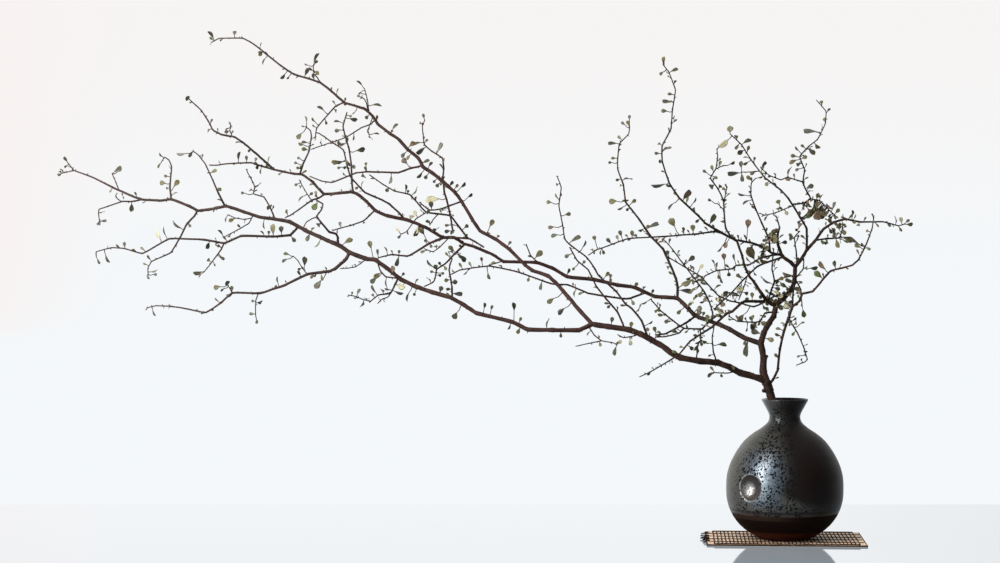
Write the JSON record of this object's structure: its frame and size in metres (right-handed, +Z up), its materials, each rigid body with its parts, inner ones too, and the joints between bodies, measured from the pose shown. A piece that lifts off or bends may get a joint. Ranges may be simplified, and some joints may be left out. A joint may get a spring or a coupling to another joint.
{
  "type": "ikebana_branch_in_round_vase_on_slat_mat",
  "caption": "Ikebana arrangement: a wiry zigzag small-leaved branch sweeping left from a round dark iron-glazed vase with a thumb dimple, on a laced slat mat",
  "frame": {"origin": "under the middle of the mat, on the vase's axis, on the mat's resting plane", "axes": "+X to the viewer's right along the branch's sweep, +Y away from the viewer, +Z up"},
  "size_m": [1.0119, 0.1583, 0.6144],
  "materials": {
    "bark": "matte",
    "leaf": "satin",
    "glaze": "gloss",
    "water": "gloss",
    "slat": "satin",
    "thread": "matte"
  },
  "bodies": {
    "root": {"trunk": "bark", "lower_bough": "bark", "upper_bough": "bark", "long_bough": "bark", "far_left_spray": "bark", "low_left_spray": "bark", "lowest_spray": "bark", "middle_bough": "bark", "middle_riser": "bark", "upper_spray": "bark", "left_arm": "bark", "left_risers": "bark", "crown_left": "bark", "crown_right": "bark", "right_stem": "bark", "vase": "glaze", "water": "water", "mat_slat_1": "slat", "mat_slat_2": "slat", "mat_slat_3": "slat", "mat_slat_4": "slat", "mat_slat_5": "slat", "mat_cord_1": "thread", "mat_cord_2": "thread", "mat_cord_3": "thread", "mat_cord_4": "thread", "mat_threads": "thread"}
  },
  "joints": []
}
